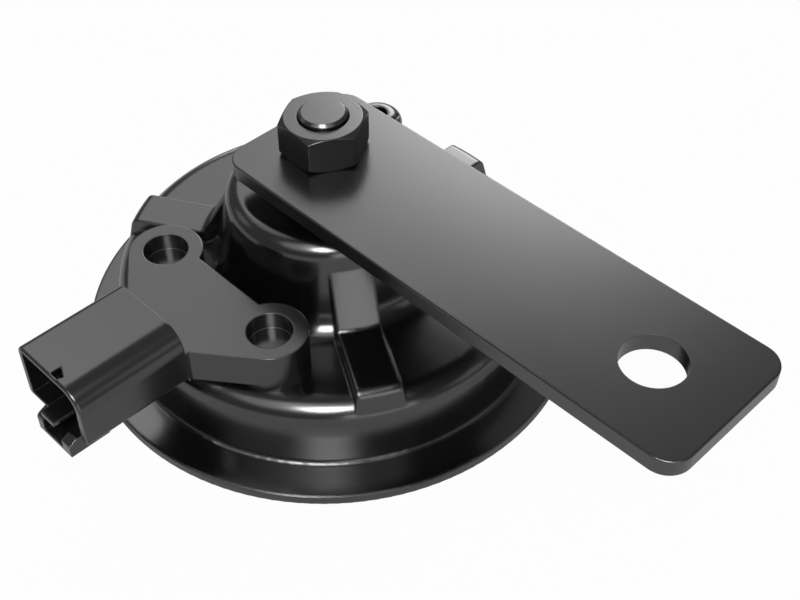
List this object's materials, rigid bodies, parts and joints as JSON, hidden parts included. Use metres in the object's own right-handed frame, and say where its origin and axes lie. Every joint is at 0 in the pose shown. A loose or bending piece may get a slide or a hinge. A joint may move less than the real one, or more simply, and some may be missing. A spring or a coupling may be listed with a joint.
{
  "type": "disc horn",
  "caption": "Electric disc horn: round pressed housing with a stepped tower and radial ribs, a side plug socket, and a flat steel mounting arm held on the stud by a nut.",
  "frame": {"origin": "on the horn's axis, in the plane of the rim's front edge, where the sound leaves", "axes": "+Z along the horn's axis towards the stud at the back, +X along the mounting arm, plug socket opening along -Y"},
  "size_m": [0.1245, 0.1023, 0.0452],
  "materials": {
    "painted_steel_body": "satin black coat",
    "painted_steel_arm": "satin black coat",
    "painted_fastener": "satin black coat",
    "painted_steel_disc": "satin black coat",
    "fibre": "pressed fibre",
    "spring_steel": "rolled sheet",
    "plated_steel": "zinc plated",
    "soft_iron": "turned",
    "nylon": "moulded",
    "enamelled_copper": "enamelled wire",
    "contact_metal": "polished",
    "spring_bronze": "rolled strip",
    "tinned_brass": "tinned",
    "black_plastic": "moulded, satin",
    "seal_rubber": "matt"
  },
  "bodies": {
    "horn_body": {"housing": "painted_steel_body", "mounting_arm": "painted_steel_arm", "lock_nut": "painted_fastener", "mounting_nut": "painted_fastener", "rim_gasket": "fibre", "diaphragm": "spring_steel", "bobbin": "nylon", "winding": "enamelled_copper", "pole_core": "painted_fastener", "yoke_plate": "soft_iron", "breaker_insulators": "fibre", "fixed_contact_arm": "plated_steel", "fixed_contact_point": "contact_metal", "moving_contact_point": "contact_metal", "contact_spring": "spring_bronze", "breaker_washer": "plated_steel", "breaker_rivet": "plated_steel", "adjusting_screw": "painted_fastener", "connector_cover": "black_plastic", "terminal_left": "tinned_brass", "terminal_right": "tinned_brass", "connector_seal": "seal_rubber", "cover_screws": "plated_steel", "coil_leads": "enamelled_copper", "breaker_lead": "enamelled_copper"},
    "vibrating_set": {"armature": "soft_iron", "armature_collar": "fibre", "diaphragm_washer": "plated_steel", "tone_disc": "painted_steel_disc", "tone_disc_nut": "plated_steel"}
  },
  "joints": [
    {"name": "diaphragm_slide", "type": "slide", "parent": "horn_body", "child": "vibrating_set", "axis": [0, 0, 1], "range_m": [-0.00025, 0.00025], "stiffness_N_per_m": 8000, "deforming": ["diaphragm"]}
  ]
}
